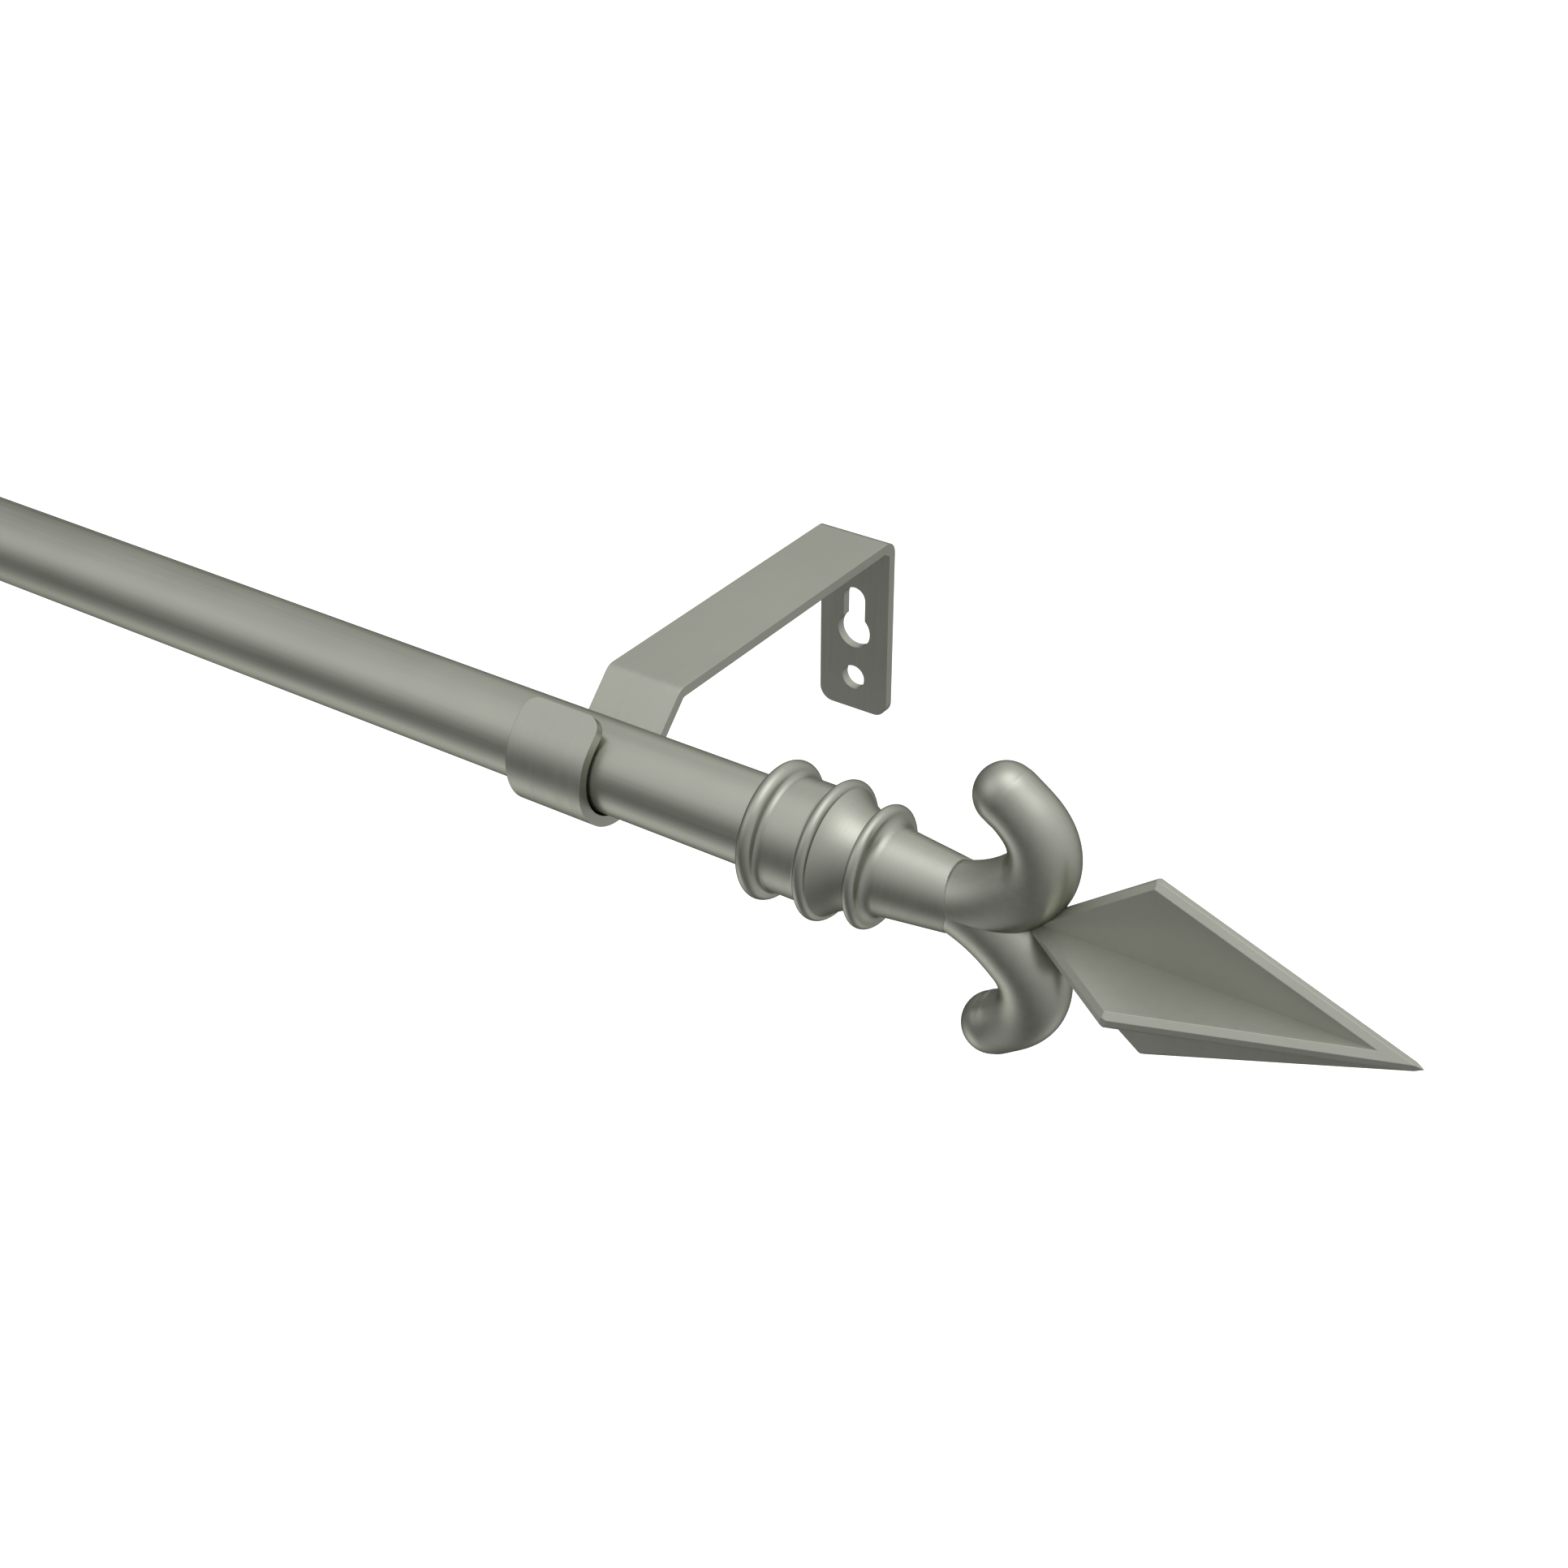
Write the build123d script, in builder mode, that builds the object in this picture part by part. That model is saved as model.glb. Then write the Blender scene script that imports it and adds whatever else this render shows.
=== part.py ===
"""Telescoping curtain rod on two bent strap brackets, with a spear finial at each end.

Millimetres. The origin is the right bracket's lower screw hole, on the wall plane.
+X runs along the rod towards the right finial, +Y points into the wall and +Z is up.
"""

import os
from math import cos, radians, sin

from build123d import *

os.makedirs("parts", exist_ok=True)

# ---- driving dimensions -------------------------------------------------------------------
rod_d = 16.0  # outer tube
inner_rod_d = 13.0  # telescoping tube
tube_wall = 0.8
bracket_span = 600.0  # between the two brackets, rod pushed in
wall_distance = 90.0  # wall to the rod's axis
rod_height = 26.0  # lower screw hole to the rod's axis

strap_w = 16.0
strap_t = 2.0
plate_h = 40.0
plate_below_hole = 7.25
cradle_clearance = 0.5  # radial, rod to cradle
lip_l = 5.75  # straight end of the cradle
strap_bend_r = 2.0  # at the strap's middle line
strap_corner_r = 3.0

screw_hole_d = 5.2
keyhole_entry_d = 7.5
keyhole_entry_z = 10.75
keyhole_slot_w = 5.0
keyhole_slot_z = 18.0

collar_x = 40.5  # bracket's middle to the collar's open face
socket_l = 14.0
slip = 0.1  # radial clearance of a sliding fit
arm_start_x = 77.3  # where the two scroll arms part from the axis, on the collar's end
arm_start_angle = 17.0  # between an arm's start and the axis
stud_d = 2.5
stud_l = 40.0
stud_chamfer = 0.3
stud_start_x = 64.0  # the stud's hidden end, inside the collar

spear_root_x = 87.8
spear_corner_x = 109.25
spear_corner_l = 1.0
spear_tip_x = 153.0
spear_h = 16.0  # axis to a blade's corner
blade_t = 3.0
blade_edge_t = 1.0  # flat left between a blade's two bevels

set_screw_d = 4.0
set_screw_l = 3.6
set_screw_x = 47.4
set_screw_gap = 0.2  # screw tip to the tube
set_screw_chamfer = 0.4
hexagon_af = 2.0  # across the flats of the screw's socket
hexagon_depth = 1.8

inner_tube_l = 600.0
mouth_ring_flange = 2.0
mouth_ring_l = 20.0
guide_head_l = 8.0
guide_plug_l = 20.0
mouth_ring_round = 0.8
guide_chamfer = 0.6
guide_wall = 1.9
end_gap = 0.3  # axial play between stacked pieces

# ---- derived places -----------------------------------------------------------------------
rod_r = rod_d / 2
inner_rod_r = inner_rod_d / 2
bore_r = rod_r - tube_wall
inner_bore_r = inner_rod_r - tube_wall
rod_y = -wall_distance
rod_z = rod_height
plate_top = plate_h - plate_below_hole
tube_end_x = collar_x + socket_l - end_gap
left_collar_x = -bracket_span - collar_x
mouth_x = left_collar_x + end_gap + mouth_ring_flange
inner_start_x = -bracket_span - tube_end_x
inner_end_x = inner_start_x + inner_tube_l
mirror_plane = Plane.YZ.offset(-bracket_span / 2)


def across_rod(x):
    """The plane across the rod at x, its origin on the rod's axis, drawn as (y, z)."""
    return Plane(origin=(x, rod_y, rod_z), x_dir=(0, 1, 0), z_dir=(1, 0, 0))


# the plane through the rod's axis, drawn as (x, distance up from the axis)
along_rod = Plane(origin=(0, rod_y, rod_z), x_dir=(1, 0, 0), z_dir=(0, -1, 0))
rod_axis = Axis((0, rod_y, rod_z), (1, 0, 0))
rod_level = Plane.XY.offset(rod_z)


def screw_plane(x):
    """The plane of a set screw that points at the rod's axis from below and behind."""
    return Plane(origin=(x, rod_y, rod_z), x_dir=(1, 0, 0), z_dir=(0, 1, -1))


right_screw_plane = screw_plane(set_screw_x)
left_screw_plane = screw_plane(-bracket_span - set_screw_x)


def save(solid, name):
    solid.label = name
    export_step(solid, f"parts/{name}.step")


# ---- brackets: one strap bent into a wall plate, an arm, a slant, a cradle and a lip ---------
cradle_mid_r = rod_r + cradle_clearance + strap_t / 2
arm_mid_z = plate_top - strap_t / 2 - rod_z
cradle_edge = cradle_mid_r / 2**0.5  # the cradle's ends lie at 45 degrees
slant_top_y = arm_mid_z + 2 * cradle_edge


def make_bracket(x_mid):
    plate_mid_y = wall_distance - strap_t / 2
    with BuildPart() as bracket:
        with BuildSketch(across_rod(x_mid)):
            with BuildLine():
                bends = FilletPolyline(
                    (plate_mid_y, -plate_below_hole - rod_z),
                    (plate_mid_y, arm_mid_z),
                    (slant_top_y, arm_mid_z),
                    (cradle_edge, -cradle_edge),
                    radius=strap_bend_r,
                )
                cradle = JernArc(bends @ 1, bends % 1, cradle_mid_r, -180)
                Line(cradle @ 1, cradle @ 1 + (cradle % 1) * lip_l)
            trace(line_width=strap_t)
        extrude(amount=strap_w / 2, both=True)
        plate_corners = bracket.edges().filter_by(Axis.Y).group_by(Axis.Z)[0]
        lip_end = bracket.faces().filter_by(Plane(origin=(0, 0, 0), z_dir=(0, 1, 1)))
        lip_corners = lip_end.edges().filter_by(Axis.X, reverse=True)
        fillet(plate_corners + lip_corners, radius=strap_corner_r)
        with BuildSketch(Plane(origin=(x_mid, 0, 0), x_dir=(1, 0, 0), z_dir=(0, -1, 0))):
            Circle(screw_hole_d / 2)
            with Locations((0, keyhole_entry_z)):
                Circle(keyhole_entry_d / 2)
            with Locations((0, keyhole_slot_z)):
                Circle(keyhole_slot_w / 2)
            with Locations((0, (keyhole_entry_z + keyhole_slot_z) / 2)):
                Rectangle(keyhole_slot_w, keyhole_slot_z - keyhole_entry_z)
        extrude(amount=strap_t, mode=Mode.SUBTRACT)
    return bracket.part


right_bracket = make_bracket(0)
left_bracket = make_bracket(-bracket_span)
save(right_bracket, "right_bracket")
save(left_bracket, "left_bracket")


# ---- tubes ----------------------------------------------------------------------------------
with BuildPart() as outer_tube:
    with BuildSketch(across_rod(mouth_x)):
        Circle(rod_r)
        Circle(bore_r, mode=Mode.SUBTRACT)
    extrude(amount=tube_end_x - mouth_x)
save(outer_tube.part, "outer_tube")

with BuildPart() as inner_tube:
    with BuildSketch(across_rod(inner_start_x)):
        Circle(inner_rod_r)
        Circle(inner_bore_r, mode=Mode.SUBTRACT)
    extrude(amount=inner_tube_l)
save(inner_tube.part, "inner_tube")

# plastic ring in the outer tube's mouth, with a flange as wide as the tube
with BuildPart() as tube_mouth_ring:
    with BuildSketch(across_rod(mouth_x)):
        Circle(rod_r)
    extrude(amount=-mouth_ring_flange)
    outer_rim = tube_mouth_ring.edges().filter_by(GeomType.CIRCLE).sort_by(Axis.X)[0]
    fillet(outer_rim, radius=mouth_ring_round)
    with BuildSketch(across_rod(mouth_x)):
        Circle(bore_r - slip / 2)
    extrude(amount=mouth_ring_l)
    with BuildSketch(across_rod(mouth_x - mouth_ring_flange)):
        Circle(inner_rod_r + slip)
    extrude(amount=mouth_ring_flange + mouth_ring_l, mode=Mode.SUBTRACT)
save(tube_mouth_ring.part, "tube_mouth_ring")

# plastic guide plugged into the inner tube's hidden end, with a head that runs in the outer tube
with BuildPart() as inner_guide:
    with BuildSketch(across_rod(inner_end_x)):
        Circle(bore_r - slip)
    extrude(amount=guide_head_l)
    chamfer(inner_guide.edges().filter_by(GeomType.CIRCLE), length=guide_chamfer)
    with BuildSketch(across_rod(inner_end_x)):
        Circle(inner_bore_r - slip / 2)
    extrude(amount=-guide_plug_l)
    with BuildSketch(across_rod(inner_end_x - guide_plug_l)):
        Circle(inner_bore_r - guide_wall)
    extrude(amount=guide_plug_l + guide_head_l / 2, mode=Mode.SUBTRACT)
save(inner_guide.part, "inner_guide")

# sleeve that brings the inner tube's end up to the socket's size
with BuildPart() as left_reducer:
    with BuildSketch(across_rod(inner_start_x)):
        Circle(rod_r)
        Circle(inner_rod_r + slip / 2, mode=Mode.SUBTRACT)
    extrude(amount=socket_l - end_gap)
    with BuildSketch(left_screw_plane):
        Circle(set_screw_d / 2 + 2 * slip)
    extrude(amount=rod_d, mode=Mode.SUBTRACT)
save(left_reducer.part, "left_reducer")


# ---- finial collar: a turned sleeve with three beads, a cove and a cone -----------------------
collar_r = 10.05
bead_1 = (42.0, 1.5, 12.1)  # middle, radius of its round, outer radius
bead_2 = (52.8, 1.1, 12.1)
bead_3 = (61.3, 1.1, 10.6)
cove_middle = (56.6, 9.15)
cove_foot_r = 7.95  # beside bead 3
cone_start_r = 7.7
cone_end_r = 6.1
bead_foot_r = 1.1  # fillet from beads 1 and 2 to the cylinder between them
cove_foot_fillet_r = 0.5
cone_foot_r = 1.8  # fillet from bead 3 to the cone


def bead_neck(middle, round_r, outer_r):
    """Where a bead's circle meets the cylinder, to the right of its middle."""
    return middle + (round_r**2 - (outer_r - round_r - collar_r) ** 2) ** 0.5


bead_1_x, bead_1_round, bead_1_r = bead_1
bead_2_x, bead_2_round, bead_2_r = bead_2
bead_3_x, bead_3_round, bead_3_r = bead_3
bead_1_start = (collar_x, bead_1_r - bead_1_round)
bead_1_neck = (bead_neck(*bead_1), collar_r)
bead_2_neck = (2 * bead_2_x - bead_neck(*bead_2), collar_r)
bead_2_end = (bead_2_x + bead_2_round, bead_2_r - bead_2_round)
bead_3_start = (bead_3_x - bead_3_round, bead_3_r - bead_3_round)
bead_3_end = (bead_3_x + bead_3_round, bead_3_r - bead_3_round)
cove_end = (bead_3_x - bead_3_round, cove_foot_r)
cone_start = (bead_3_x + bead_3_round, cone_start_r)
foot_fillets = (
    (bead_1_neck, bead_foot_r),
    (bead_2_neck, bead_foot_r),
    (cove_end, cove_foot_fillet_r),
    (cone_start, cone_foot_r),
)

with BuildPart() as right_collar:
    with BuildSketch(along_rod) as profile:
        with BuildLine():
            Polyline(
                cone_start,
                (arm_start_x, cone_end_r),
                (arm_start_x, 0),
                (collar_x + socket_l, 0),
                (collar_x + socket_l, rod_r + slip),
                (collar_x, rod_r + slip),
                bead_1_start,
            )
            ThreePointArc(bead_1_start, (bead_1_x, bead_1_r), bead_1_neck)
            Line(bead_1_neck, bead_2_neck)
            ThreePointArc(bead_2_neck, (bead_2_x, bead_2_r), bead_2_end)
            ThreePointArc(bead_2_end, cove_middle, cove_end)
            Line(cove_end, bead_3_start)
            ThreePointArc(bead_3_start, (bead_3_x, bead_3_r), bead_3_end)
            Line(bead_3_end, cone_start)
        make_face()
        for (foot_x, foot_r), fillet_r in foot_fillets:
            foot = profile.vertices().sort_by_distance((foot_x, foot_r))[0]
            fillet(foot, radius=fillet_r)
    revolve(axis=rod_axis)
    # the end is cut to a shallow wedge, square to the two scroll arms that leave it
    for side in (1, -1):
        arm_back = Plane(
            origin=(arm_start_x, rod_y, rod_z),
            x_dir=(0, 1, 0),
            z_dir=(cos(radians(arm_start_angle)), 0, side * sin(radians(arm_start_angle))),
        )
        split(bisect_by=arm_back, keep=Keep.BOTTOM)
    with BuildSketch(right_screw_plane):
        Circle(set_screw_d / 2 + slip)
    extrude(amount=rod_d, mode=Mode.SUBTRACT)
    with BuildSketch(across_rod(stud_start_x)):
        Circle(stud_d / 2 + slip)
    extrude(amount=stud_l, mode=Mode.SUBTRACT)
save(right_collar.part, "right_collar")


# ---- finial scrolls: two round bars that leave the axis, swing out and curl back ---------------
arm_lead_r = 26.0
arm_lead_turn = 28
arm_curl_r = 8.35
arm_curl_turn = 89
arm_tail_r = 18.3
arm_tail_turn = 19
arm_r = 6.25
arm_tip_r = 5.2
arm_stations = 16
arm_taper_from = 0.3  # share of the arm's length before it starts to thin


def arm_radius(t):
    """The bar's radius at t, from 0 where the arms part to 1 at the tip."""
    thinned = max(0, (t - arm_taper_from) / (1 - arm_taper_from))
    return arm_r + (arm_tip_r - arm_r) * thinned**2 * (3 - 2 * thinned)


with BuildPart() as upper_arm:
    with BuildLine(along_rod) as arm_path:
        lead = JernArc(
            (arm_start_x, 0),
            (cos(radians(arm_start_angle)), sin(radians(arm_start_angle))),
            arm_lead_r,
            arm_lead_turn,
        )
        curl = JernArc(lead @ 1, lead % 1, arm_curl_r, arm_curl_turn)
        JernArc(curl @ 1, curl % 1, arm_tail_r, arm_tail_turn)
    arm_wire = arm_path.wire()
    for station in range(arm_stations):
        t = station / (arm_stations - 1)
        with BuildSketch(Plane(origin=arm_wire @ t, z_dir=arm_wire % t)):
            Circle(arm_radius(t))
    loft()
    with Locations(arm_wire @ 1):
        Sphere(arm_tip_r)
    split(bisect_by=rod_level, keep=Keep.TOP)

with BuildPart() as right_scrolls:
    add(upper_arm.part)
    mirror(upper_arm.part, about=rod_level)
    add(right_collar.part, mode=Mode.SUBTRACT)
    with BuildSketch(across_rod(stud_start_x)):
        Circle(stud_d / 2 + slip)
    extrude(amount=stud_l, mode=Mode.SUBTRACT)
save(right_scrolls.part, "right_scrolls")


# ---- finial spear: four bevelled blades around a four-sided point ----------------------------
corner_end_x = spear_corner_x + spear_corner_l
root_slope = spear_h / (spear_corner_x - spear_root_x)
tip_slope = spear_h / (spear_tip_x - corner_end_x)
bevel_rise = blade_edge_t / 2  # a bevel would meet its twin this far above the blade's edge
bevel_root_x = spear_root_x - bevel_rise / root_slope
bevel_tip_x = spear_tip_x + bevel_rise / tip_slope
bevel_corner_x = (root_slope * bevel_root_x + tip_slope * bevel_tip_x) / (root_slope + tip_slope)
bevel_h = root_slope * (bevel_corner_x - bevel_root_x)


def kite_prism(half_outline, turn, half_height_scale=1.0):
    """A kite along the rod's axis, turned about it and extruded past the spear on both sides."""
    upper = [(x, h * half_height_scale) for x, h in half_outline]
    lower = [(x, -h) for x, h in reversed(upper) if h > 0]
    with BuildPart() as prism:
        with BuildSketch(along_rod.rotated((turn, 0, 0))):
            with BuildLine():
                Polyline(*upper, *lower, close=True)
            make_face()
        extrude(amount=2 * spear_h, both=True)
    return prism.part


blade_outline = [
    (spear_root_x, 0),
    (spear_corner_x, spear_h),
    (corner_end_x, spear_h),
    (spear_tip_x, 0),
]
bevel_outline = [(bevel_root_x, 0), (bevel_corner_x, bevel_h), (bevel_tip_x, 0)]
diagonal = 0.5**0.5
spear_l = spear_tip_x - spear_root_x
with BuildPart() as right_spear:
    with Locations((spear_root_x + spear_l / 2, rod_y, rod_z)):
        Box(spear_l, blade_t, 2 * spear_h)
        Box(spear_l, 2 * spear_h, blade_t)
    for quarter_turn in (0, 90):
        add(kite_prism(blade_outline, quarter_turn), mode=Mode.INTERSECT)
        add(kite_prism(bevel_outline, quarter_turn + 45, diagonal), mode=Mode.INTERSECT)
    add(right_scrolls.part, mode=Mode.SUBTRACT)
    with BuildSketch(across_rod(stud_start_x)):
        Circle(stud_d / 2 + slip)
    extrude(amount=stud_l, mode=Mode.SUBTRACT)
save(right_spear.part, "right_spear")


# ---- the stud through the finial, and the set screws ------------------------------------------
with BuildPart() as right_stud:
    with BuildSketch(across_rod(stud_start_x + end_gap)):
        Circle(stud_d / 2)
    extrude(amount=stud_l - 2 * end_gap)
    chamfer(right_stud.edges().filter_by(GeomType.CIRCLE), length=stud_chamfer)
save(right_stud.part, "right_stud")


def make_set_screw(tip_r, plane):
    """A headless screw with a hexagon socket, its tip tip_r from the rod's axis."""
    with BuildPart() as screw:
        with BuildSketch(plane.offset(tip_r)):
            Circle(set_screw_d / 2)
        extrude(amount=set_screw_l)
        chamfer(screw.edges().filter_by(GeomType.CIRCLE), length=set_screw_chamfer)
        with BuildSketch(plane.offset(tip_r + set_screw_l)):
            RegularPolygon(hexagon_af / 2, side_count=6, major_radius=False)
        extrude(amount=-hexagon_depth, mode=Mode.SUBTRACT)
    return screw.part


save(make_set_screw(rod_r + set_screw_gap, right_screw_plane), "right_set_screw")
save(make_set_screw(inner_rod_r + set_screw_gap, left_screw_plane), "left_set_screw")


# ---- left finial: the right one mirrored -------------------------------------------------------
for right_piece, name in (
    (right_collar, "left_collar"),
    (right_scrolls, "left_scrolls"),
    (right_spear, "left_spear"),
    (right_stud, "left_stud"),
):
    with BuildPart() as left_piece:
        mirror(right_piece.part, about=mirror_plane)
    save(left_piece.part, name)
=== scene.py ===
"""The looks of the curtain rod: satin metal, plastic, a pale floor, soft studio light, the camera.

Lengths are in metres.
"""

from math import radians

import bpy
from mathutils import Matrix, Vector


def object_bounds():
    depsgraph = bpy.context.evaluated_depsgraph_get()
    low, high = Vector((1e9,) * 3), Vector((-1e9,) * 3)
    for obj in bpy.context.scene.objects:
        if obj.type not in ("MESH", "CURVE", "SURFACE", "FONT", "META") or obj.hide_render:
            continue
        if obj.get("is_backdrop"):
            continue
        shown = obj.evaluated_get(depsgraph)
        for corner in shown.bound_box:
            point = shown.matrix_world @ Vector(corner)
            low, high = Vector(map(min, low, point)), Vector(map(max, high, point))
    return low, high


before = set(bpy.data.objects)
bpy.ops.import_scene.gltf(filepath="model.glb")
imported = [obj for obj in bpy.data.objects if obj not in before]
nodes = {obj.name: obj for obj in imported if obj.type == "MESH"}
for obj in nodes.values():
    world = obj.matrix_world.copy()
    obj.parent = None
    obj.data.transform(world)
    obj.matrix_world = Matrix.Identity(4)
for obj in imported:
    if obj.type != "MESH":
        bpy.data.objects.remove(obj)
cad_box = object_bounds()

# ---- camera ---------------------------------------------------------------------------------
CAMERA_PLACE = (0.22711, -0.36216, 0.24272)
CAMERA_AZIMUTH = 34.138  # degrees, 0 looks along +Y
CAMERA_ELEVATION = 32.262  # degrees that it looks down
CAMERA_LENS = 54.933
SENSOR = 36.0
NEAR_CLIP = 0.01

camera_data = bpy.data.cameras.new("camera")
camera_data.lens = CAMERA_LENS
camera_data.sensor_width = SENSOR
camera_data.clip_start = NEAR_CLIP
camera = bpy.data.objects.new("camera", camera_data)
camera.location = CAMERA_PLACE
camera.rotation_euler = (radians(90 - CAMERA_ELEVATION), 0, radians(CAMERA_AZIMUTH))
bpy.context.scene.collection.objects.link(camera)
bpy.context.scene.camera = camera


# ---- node helpers ---------------------------------------------------------------------------
class Nodes:
    """A node tree that grows by short calls."""

    def __init__(self, tree):
        self.tree = tree
        tree.nodes.clear()

    def add(self, kind, inputs=None, **settings):
        node = self.tree.nodes.new(kind)
        for name, value in settings.items():
            setattr(node, name, value)
        for name, value in (inputs or {}).items():
            socket = node.inputs[name]
            if isinstance(value, bpy.types.NodeSocket):
                self.tree.links.new(value, socket)
            else:
                socket.default_value = value
        return node

    def math(self, operation, *values):
        node = self.add("ShaderNodeMath", dict(enumerate(values)), operation=operation)
        return node.outputs[0]

    def span(self, value, low, high, to_low=0.0, to_high=1.0, smooth=False):
        """The value's place between low and high, carried over to another range."""
        ends = {"Value": value, "From Min": low, "From Max": high, "To Min": to_low, "To Max": to_high}
        kind = "SMOOTHSTEP" if smooth else "LINEAR"
        return self.add("ShaderNodeMapRange", ends, interpolation_type=kind).outputs["Result"]


# ---- studio light: a soft surround, brightest overhead, darkest low at the front ---------------
# the surround brightens evenly from SHADE, away from SURROUND_SIDE, to BRIGHT, towards it
SURROUND_SIDE = (0.50, 0.35, 0.80)
SHADE = 0.02
BRIGHT = 0.70
# each soft light: the direction that it comes from, how tight it is, its strength
SOFT_LIGHTS = (
    ((0.15, -0.02, 0.98), 9.0, 1.12),
    ((-0.65, -0.58, 0.49), 10.0, 0.48),
    ((-0.58, -0.17, -0.80), 10.0, 1.00),
    ((-0.47, 0.81, 0.35), 28.0, 0.34),
    ((0.31, 0.40, -0.86), 22.0, 0.60),
)
PALE = (0.97, 0.97, 0.97, 1.0)
WHITE = (1.0, 1.0, 1.0, 1.0)
BACKDROP_STRENGTH = 1.1

world = bpy.data.worlds.new("studio")
bpy.context.scene.world = world
world.use_nodes = True
sky = Nodes(world.node_tree)
ray = sky.add("ShaderNodeTexCoord").outputs["Generated"]


def facing(towards):
    """1 where the ray goes towards the direction, -1 where it goes away from it."""
    vectors = {0: ray, 1: Vector(towards).normalized()}
    return sky.add("ShaderNodeVectorMath", vectors, operation="DOT_PRODUCT").outputs["Value"]


light = sky.span(facing(SURROUND_SIDE), -1.0, 1.0, SHADE, BRIGHT)
for towards, tightness, strength in SOFT_LIGHTS:
    fall_off = sky.math("MULTIPLY", sky.math("SUBTRACT", facing(towards), 1.0), tightness)
    glow = sky.math("MULTIPLY", sky.math("EXPONENT", fall_off), strength)
    light = sky.math("ADD", light, glow)
surround = sky.add("ShaderNodeBackground", {"Color": WHITE, "Strength": light})
backdrop = sky.add("ShaderNodeBackground", {"Color": PALE, "Strength": BACKDROP_STRENGTH})
seen = sky.add("ShaderNodeLightPath").outputs["Is Camera Ray"]
mixed = sky.add("ShaderNodeMixShader", {0: seen, 1: surround.outputs[0], 2: backdrop.outputs[0]})
sky.add("ShaderNodeOutputWorld", {"Surface": mixed.outputs[0]})

bpy.context.scene.view_settings.view_transform = "Standard"

# ---- floor ----------------------------------------------------------------------------------
FLOOR_Z = -0.45
FLOOR_SIDE = 12.0
FLOOR_GLOW = 0.62  # evens out the floor's own shading

bpy.ops.mesh.primitive_plane_add(size=FLOOR_SIDE, location=(0, 0, FLOOR_Z))
floor = bpy.context.object
floor.name = "floor"
floor.visible_glossy = False
floor.visible_diffuse = False
paint = bpy.data.materials.new("floor_paint")
paint.use_nodes = True
coat = Nodes(paint.node_tree)
matt = coat.add("ShaderNodeBsdfDiffuse", {"Color": PALE})
lift = coat.add("ShaderNodeEmission", {"Color": PALE, "Strength": FLOOR_GLOW})
both = coat.add("ShaderNodeAddShader", {0: matt.outputs[0], 1: lift.outputs[0]})
coat.add("ShaderNodeOutputMaterial", {"Surface": both.outputs[0]})
floor.data.materials.append(paint)
floor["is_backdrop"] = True

# ---- satin metal ----------------------------------------------------------------------------
SATIN = (0.545, 0.552, 0.485)
SPEAR_SATIN = tuple(0.92 * channel for channel in SATIN)
ZINC = (0.50, 0.51, 0.50)
RIM_TINT = 0.6  # the metal's reflection near its outline, against its own colour
TONE_SPREAD = 0.045  # how far the plating's colour strays, as a share of it
WORN_TONE = 1.3  # a rubbed edge's colour, as a share of the plating's
EDGE_ROUND = 0.00018
CREASE_REACH = 0.0012
GRAIN_DEPTH = 0.000008
CLOUDS_PER_METRE = 45.0
SPECKS_PER_METRE = 2600.0
NOISE = (0.3, 0.7)  # the range that a noise's values mostly lie in
SLOT_A, SLOT_B, MIXED = 6, 7, 2  # the colour sockets of a mix node


def shade(colour, factor):
    return tuple(min(1.0, channel * factor) for channel in colour) + (1.0,)


def material_nodes(name):
    """A new material, its nodes and the piece's own coordinates."""
    material = bpy.data.materials.new(name)
    material.use_nodes = True
    n = Nodes(material.node_tree)
    return material, n, n.add("ShaderNodeTexCoord").outputs["Object"]


def noise(n, place, scale, detail):
    return n.add("ShaderNodeTexNoise", {"Vector": place, "Scale": scale, "Detail": detail}).outputs[0]


def blend(n, share, first, second):
    colours = {"Factor": share, SLOT_A: first, SLOT_B: second}
    return n.add("ShaderNodeMix", colours, data_type="RGBA").outputs[MIXED]


def finish(n, **inputs):
    """The surface from its inputs, spaces in their names written as underscores."""
    inputs = {name.replace("_", " "): value for name, value in inputs.items()}
    shader = n.add("ShaderNodeBsdfPrincipled", inputs)
    n.add("ShaderNodeOutputMaterial", {"Surface": shader.outputs[0]})


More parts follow.
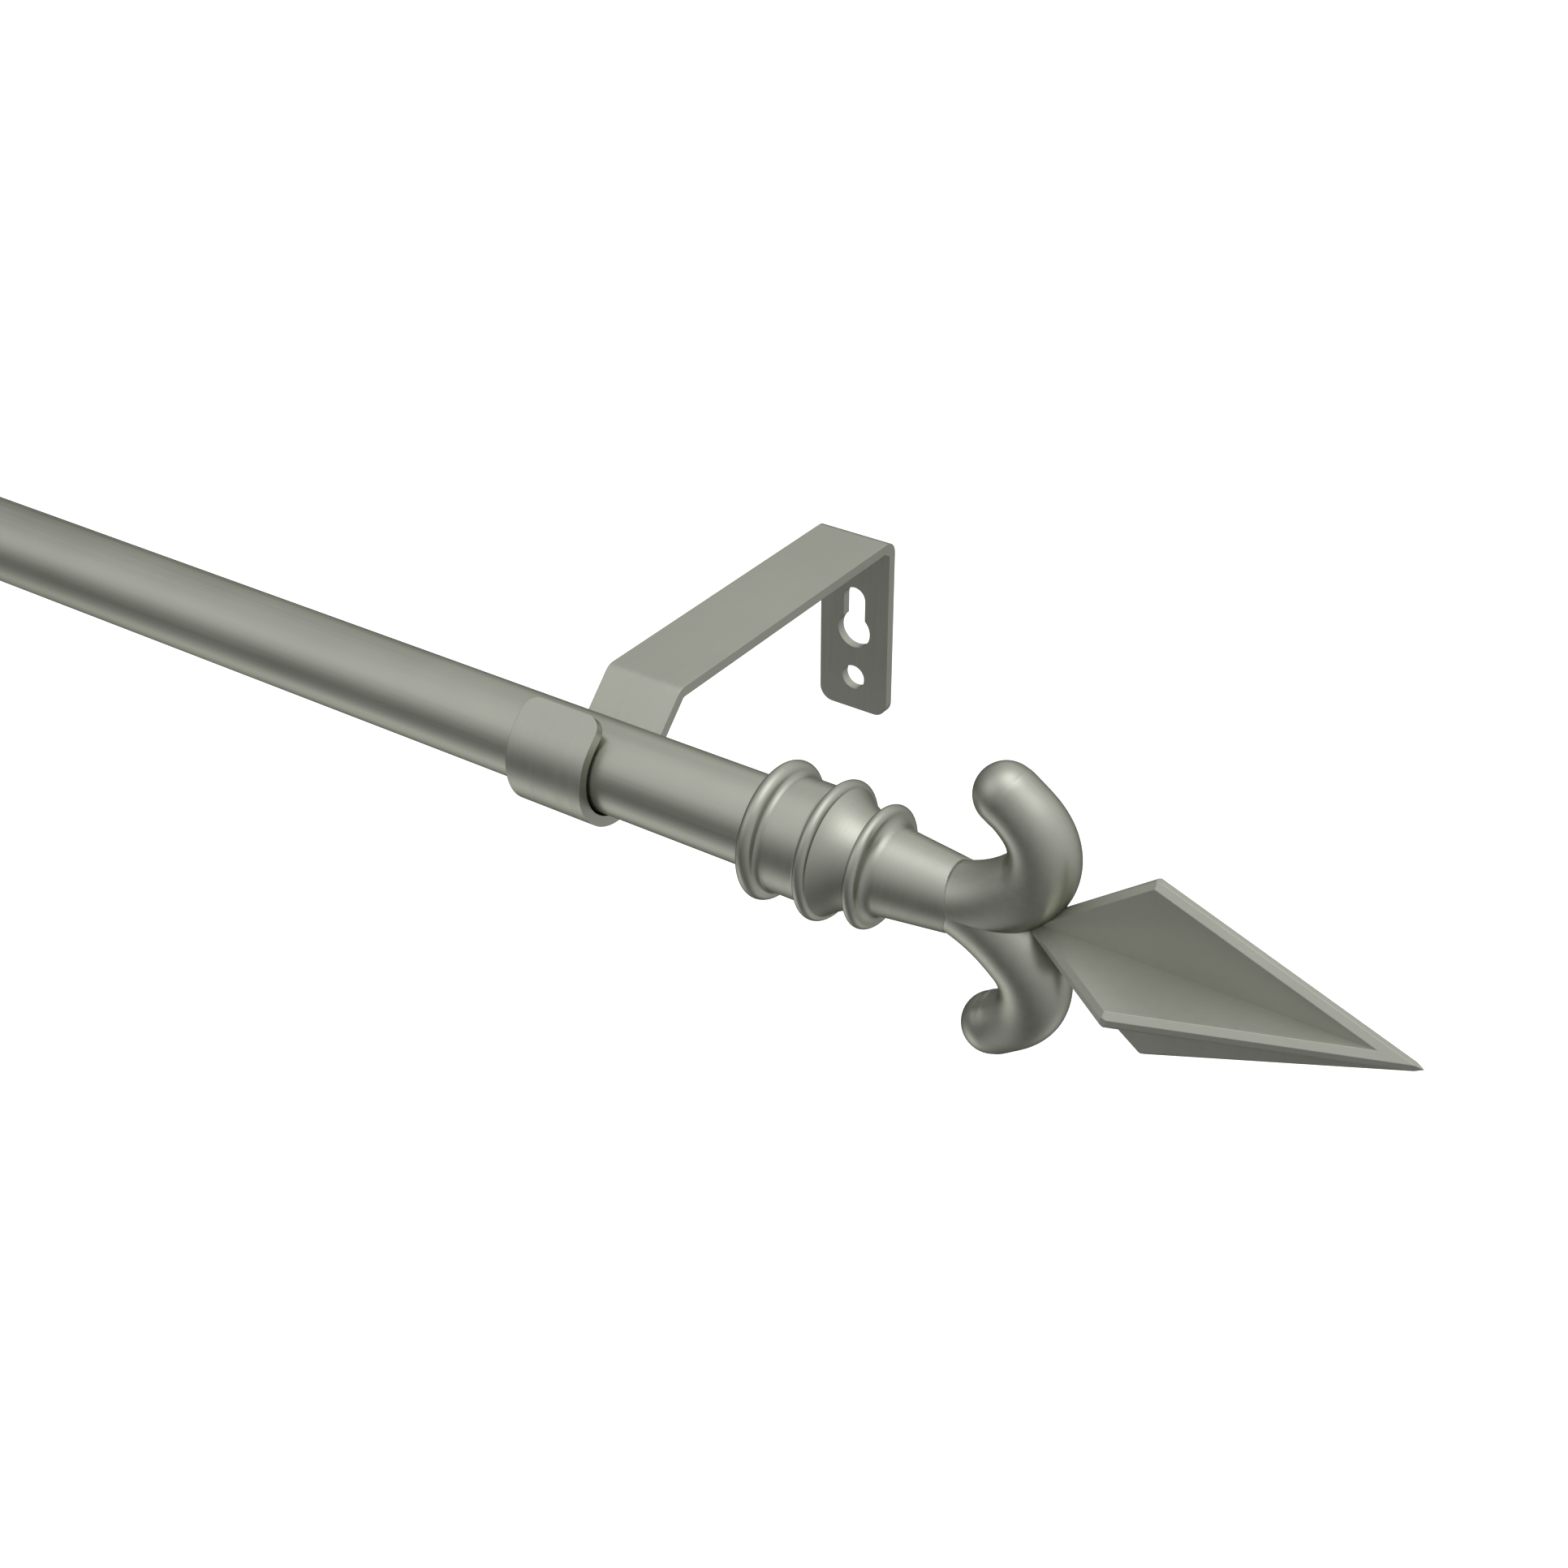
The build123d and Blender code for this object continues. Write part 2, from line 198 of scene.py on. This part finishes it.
def satin_metal(name, grain_scale, colour=SATIN, roughness=0.36, grain=0.04, metallic=1.0):
    """Plated metal with a fine directional grain, faint clouds in its colour and rubbed edges.

    metallic below 1 gives the milkier plating of a casting with flat faces.
    """
    material, n, place = material_nodes(name)
    along = n.add("ShaderNodeMapping", {"Vector": place, "Scale": grain_scale}).outputs[0]
    streaks = noise(n, along, 1.0, 4.0)
    clouds = noise(n, place, CLOUDS_PER_METRE, 3.0)
    specks = noise(n, place, SPECKS_PER_METRE, 2.0)

    # 1 on flat faces and outer edges, less inside a crease, which is neither rounded nor rubbed
    space = n.add("ShaderNodeAmbientOcclusion", {"Distance": CREASE_REACH}, samples=4, only_local=True)
    outside = n.span(space.outputs["AO"], 0.70, 0.92)
    rounding = n.math("MULTIPLY", outside, EDGE_ROUND)
    round_normal = n.add("ShaderNodeBevel", {"Radius": rounding}, samples=4).outputs[0]
    true_normal = n.add("ShaderNodeNewGeometry").outputs["True Normal"]
    normals = {0: round_normal, 1: true_normal}
    same = n.add("ShaderNodeVectorMath", normals, operation="DOT_PRODUCT").outputs["Value"]
    edge = n.span(same, 0.99, 0.80, 0.0, 1.0, smooth=True)
    rubbed = n.math("MULTIPLY", n.math("MULTIPLY", edge, outside), n.span(clouds, 0.35, 0.65))

    # the clouds make up most of the tone, the streaks the rest
    tone = n.math("ADD", n.span(clouds, *NOISE, 0.0, 0.7), n.span(streaks, *NOISE, 0.0, 0.3))
    body = blend(n, tone, shade(colour, 1 - TONE_SPREAD), shade(colour, 1 + TONE_SPREAD))
    worn = blend(n, n.math("MULTIPLY", rubbed, 0.5), body, shade(colour, WORN_TONE))

    rough = n.span(streaks, *NOISE, roughness - grain, roughness + grain)
    rough = n.math("ADD", rough, n.span(clouds, *NOISE, -0.015, 0.015))
    rough = n.math("SUBTRACT", rough, n.math("MULTIPLY", rubbed, 0.08))
    height = n.math("ADD", streaks, n.math("MULTIPLY", specks, 0.5))
    relief = {"Height": height, "Strength": 1.0, "Distance": GRAIN_DEPTH, "Normal": round_normal}
    rippled = n.add("ShaderNodeBump", relief).outputs[0]
    rim = shade(colour, RIM_TINT)
    finish(n, Base_Color=worn, Metallic=metallic, Roughness=rough, Specular_Tint=rim, Normal=rippled)
    return material


# ---- plastic --------------------------------------------------------------------------------
DARK = (0.16, 0.16, 0.15)
SKIN_PER_METRE = 3200.0
SKIN_DEPTH = 0.00004


def plastic(name, colour):
    """Moulded plastic with a fine spark-eroded skin."""
    material, n, place = material_nodes(name)
    skin = noise(n, place, SKIN_PER_METRE, 3.0)
    clouds = noise(n, place, 60.0, 2.0)
    body = blend(n, clouds, shade(colour, 0.85), shade(colour, 1.15))
    rippled = n.add("ShaderNodeBump", {"Height": skin, "Strength": 1.0, "Distance": SKIN_DEPTH}).outputs[0]
    finish(n, Base_Color=body, Roughness=n.span(skin, *NOISE, 0.42, 0.56), Normal=rippled)
    return material


# ---- which piece wears what -----------------------------------------------------------------
# grain scales are in cycles per metre: small along the grain, large across it
ALONG_X = (18.0, 1800.0, 1800.0)
ALONG_STRAP = (1500.0, 45.0, 45.0)
TURNED = (2600.0, 60.0, 60.0)
EVEN = (900.0, 900.0, 900.0)

tube_metal = satin_metal("tube_satin", ALONG_X)
strap_metal = satin_metal("strap_satin", ALONG_STRAP)
turned_metal = satin_metal("turned_satin", TURNED)
cast_metal = satin_metal("cast_satin", EVEN, grain=0.03)
spear_metal = satin_metal("spear_satin", EVEN, colour=SPEAR_SATIN, grain=0.03, metallic=0.6)
screw_metal = satin_metal("zinc", EVEN, colour=ZINC, roughness=0.30)
dark_plastic = plastic("guide_plastic", DARK)

# by the ending of a node's name
MATERIALS = {
    "bracket": strap_metal,
    "tube": tube_metal,
    "collar": turned_metal,
    "scrolls": cast_metal,
    "spear": spear_metal,
    "stud": screw_metal,
    "set_screw": screw_metal,
    "ring": dark_plastic,
    "guide": dark_plastic,
    "reducer": dark_plastic,
}

for node_name, piece in nodes.items():
    for ending, material in MATERIALS.items():
        if node_name.endswith(ending):
            for slot in piece.material_slots:
                slot.material = material

boxes = {"cad": cad_box, "visual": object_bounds()}
boxes = {which: [list(corner) for corner in box] for which, box in boxes.items()}
